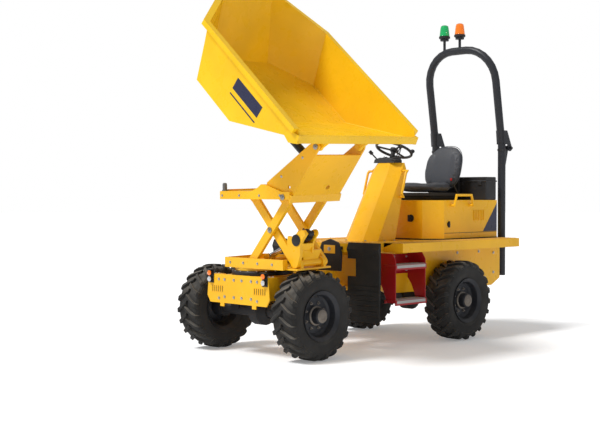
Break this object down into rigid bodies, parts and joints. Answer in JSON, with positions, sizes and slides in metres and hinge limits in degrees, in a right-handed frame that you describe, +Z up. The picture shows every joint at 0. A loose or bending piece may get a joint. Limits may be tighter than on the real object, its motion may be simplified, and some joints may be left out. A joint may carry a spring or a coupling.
{
  "type": "site dumper",
  "caption": "Articulated four-wheel site dumper with a swivelling skip on a scissor lift, driver's seat, console, steps and folding roll-over hoop",
  "frame": {"origin": "on the ground, on the centre line, midway between the two axles", "axes": "-Y towards the front of the machine, +X its left side, +Z up; the skip is swivelled to +X, raised and tipped at rest"},
  "size_m": [1.9427, 3.8757, 3.2108],
  "materials": {
    "machine_yellow": "gloss paint, scuffed",
    "chassis_black": "satin black",
    "tyre_rubber": "matt",
    "buffer_rubber": "matt",
    "rim_grey": "satin",
    "step_red": "satin",
    "rops_charcoal": "satin",
    "seat_vinyl": "grained vinyl",
    "black_plastic": "moulded",
    "rod_chrome": "ground and plated",
    "axle_paint": "satin over a casting",
    "lens_green": "moulded lens",
    "lens_amber": "moulded lens"
  },
  "bodies": {
    "machine": {"rear_chassis": "machine_yellow", "deck": "machine_yellow", "rear_axle": "axle_paint", "engine_block": "axle_paint", "engine_cover": "machine_yellow", "seat_base": "black_plastic", "seat_cushion": "seat_vinyl", "seat_backrest": "seat_vinyl", "tool_box": "black_plastic", "console": "machine_yellow", "instrument_panel": "black_plastic", "step_left": "step_red", "step_right": "step_red", "mud_flap_left": "black_plastic", "mud_flap_right": "black_plastic", "rops_base": "rops_charcoal", "hose_guard": "black_plastic"},
    "steering_wheel": {"steering_wheel": "black_plastic"},
    "rops_hoop": {"rops_hoop": "rops_charcoal", "beacon_green": "lens_green", "beacon_amber": "lens_amber"},
    "front_chassis": {"front_chassis": "machine_yellow", "front_axle": "axle_paint", "slew_ring": "chassis_black", "lamp_left": "chassis_black", "lamp_right": "chassis_black"},
    "wheel_front_left": {"tyre_front_left": "tyre_rubber", "rim_front_left": "rim_grey"},
    "wheel_front_right": {"tyre_front_right": "tyre_rubber", "rim_front_right": "rim_grey"},
    "wheel_rear_left": {"tyre_rear_left": "tyre_rubber", "rim_rear_left": "rim_grey"},
    "wheel_rear_right": {"tyre_rear_right": "tyre_rubber", "rim_rear_right": "rim_grey"},
    "swivel_base": {"swivel_base": "machine_yellow"},
    "lift_arms_inner": {"lift_arms_inner": "machine_yellow"},
    "lift_arms_outer": {"lift_arms_outer": "machine_yellow"},
    "tip_frame": {"tip_frame": "machine_yellow", "buffer_front": "buffer_rubber", "buffer_rear": "buffer_rubber"},
    "skip": {"skip": "machine_yellow"},
    "lift_ram_barrel": {"lift_ram_barrel": "chassis_black"},
    "lift_ram_rod": {"lift_ram_rod": "rod_chrome"},
    "tip_ram_barrel": {"tip_ram_barrel": "chassis_black"},
    "tip_ram_rod": {"tip_ram_rod": "rod_chrome"},
    "steer_ram_barrel": {"steer_ram_barrel": "chassis_black"},
    "steer_ram_rod": {"steer_ram_rod": "rod_chrome"}
  },
  "joints": [
    {"name": "chassis_joint", "type": "hinge", "parent": "machine", "child": "front_chassis", "pos_m": [0, -0.15, 0.68], "axis": [0, 0, 1], "range_deg": [-30, 30]},
    {"name": "steering_wheel_turn", "type": "hinge", "parent": "machine", "child": "steering_wheel", "pos_m": [0, 0.77, 1.83], "axis": [0, 0.4067, 0.9135], "range_deg": [-540, 540]},
    {"name": "rops_fold", "type": "hinge", "parent": "machine", "child": "rops_hoop", "pos_m": [0, 2.052, 1.87], "axis": [-1, 0, 0], "range_deg": [0, 110]},
    {"name": "wheel_front_left_spin", "type": "hinge", "parent": "front_chassis", "child": "wheel_front_left", "pos_m": [0.61, -1, 0.38], "axis": [1, 0, 0], "continuous": true},
    {"name": "wheel_front_right_spin", "type": "hinge", "parent": "front_chassis", "child": "wheel_front_right", "pos_m": [-0.61, -1, 0.38], "axis": [1, 0, 0], "continuous": true},
    {"name": "wheel_rear_left_spin", "type": "hinge", "parent": "machine", "child": "wheel_rear_left", "pos_m": [0.61, 1, 0.38], "axis": [1, 0, 0], "continuous": true},
    {"name": "wheel_rear_right_spin", "type": "hinge", "parent": "machine", "child": "wheel_rear_right", "pos_m": [-0.61, 1, 0.38], "axis": [1, 0, 0], "continuous": true},
    {"name": "swivel", "type": "hinge", "parent": "front_chassis", "child": "swivel_base", "pos_m": [0, -1, 0.742], "axis": [0, -0.0262, 0.9997], "range_deg": [-180, 0]},
    {"name": "lift", "type": "hinge", "parent": "swivel_base", "child": "lift_arms_inner", "pos_m": [0.585, -1.00212, 0.82297], "axis": [0, 0.9997, 0.0262], "range_deg": [-38.7, 3]},
    {"name": "lift_cross_pin", "type": "hinge", "parent": "lift_arms_inner", "child": "lift_arms_outer", "pos_m": [0.34, -1.00941, 1.10138], "axis": [0, 0.9997, 0.0262], "range_deg": [-6.5, 77.9]},
    {"name": "lift_top_pin", "type": "hinge", "parent": "lift_arms_outer", "child": "tip_frame", "pos_m": [0.585, -1.0167, 1.37978], "axis": [0, 0.9997, 0.0262], "range_deg": [-39.2, 3.5]},
    {"name": "tip", "type": "hinge", "parent": "tip_frame", "child": "skip", "pos_m": [0.955, -1.0273, 1.78464], "axis": [0, 0.9997, 0.0262], "range_deg": [-45, 35]},
    {"name": "lift_ram_pivot", "type": "hinge", "parent": "lift_arms_inner", "child": "lift_ram_barrel", "pos_m": [0.68, -1.09763, 1.07056], "axis": [0, 0.9997, 0.0262], "range_deg": [-2.55, 26.97]},
    {"name": "lift_ram_stroke", "type": "slide", "parent": "lift_ram_barrel", "child": "lift_ram_rod", "axis": [-0.9196, 0.0103, -0.3926], "range_m": [-0.1506, 0.0135]},
    {"name": "tip_ram_pivot", "type": "hinge", "parent": "tip_frame", "child": "tip_ram_barrel", "pos_m": [0.715, -0.97643, 1.5609], "axis": [0, 0.9997, 0.0262], "range_deg": [-51.26, 39.98]},
    {"name": "tip_ram_stroke", "type": "slide", "parent": "tip_ram_barrel", "child": "tip_ram_rod", "axis": [-0.7638, -0.0169, 0.6452], "range_m": [-0.2365, 0.1844]},
    {"name": "steer_ram_pivot", "type": "hinge", "parent": "machine", "child": "steer_ram_barrel", "pos_m": [-0.3, 0, 0.735], "axis": [0, 0, 1], "range_deg": [-17.04, 17.04]},
    {"name": "steer_ram_stroke", "type": "slide", "parent": "steer_ram_barrel", "child": "steer_ram_rod", "axis": [0.2927, -0.9562, 0], "range_m": [-0.1283, 0.1283]}
  ],
  "couplings": [
    {"joint": "lift_cross_pin", "follows": "lift", "ratio": -2},
    {"joint": "lift_top_pin", "follows": "lift", "ratio": 1},
    {"joint": "lift_ram_pivot", "follows": "lift", "ratio": -0.68387},
    {"joint": "lift_ram_stroke", "follows": "lift", "m_per_rad": 0.22001},
    {"joint": "tip_ram_pivot", "follows": "tip", "ratio": 1.1279},
    {"joint": "tip_ram_stroke", "follows": "tip", "m_per_rad": 0.29851},
    {"joint": "steer_ram_pivot", "follows": "chassis_joint", "ratio": 0.5515},
    {"joint": "steer_ram_stroke", "follows": "chassis_joint", "m_per_rad": 0.24118}
  ]
}
